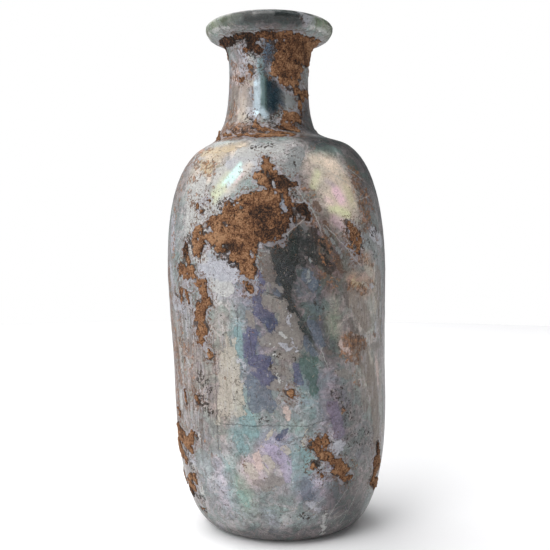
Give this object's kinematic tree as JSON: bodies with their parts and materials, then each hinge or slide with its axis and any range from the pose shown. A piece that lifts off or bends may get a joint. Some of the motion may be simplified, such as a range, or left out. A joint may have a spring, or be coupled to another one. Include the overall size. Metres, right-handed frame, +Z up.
{
  "type": "roman glass unguentarium",
  "caption": "Hollow blown glass bottle with a barrel-shaped body, a round shoulder, a short neck and a thick flat-topped rim, weathered and crusted from burial.",
  "frame": {"origin": "on the ground under the middle of the vessel's overall box", "axes": "+Z up along the vessel's height; -Y is the side that the picture shows; the neck stands a little towards -X"},
  "size_m": [0.0548, 0.0546, 0.125],
  "materials": {
    "weathered_glass": "satin"
  },
  "bodies": {
    "root": {"bottle": "weathered_glass"}
  },
  "joints": []
}
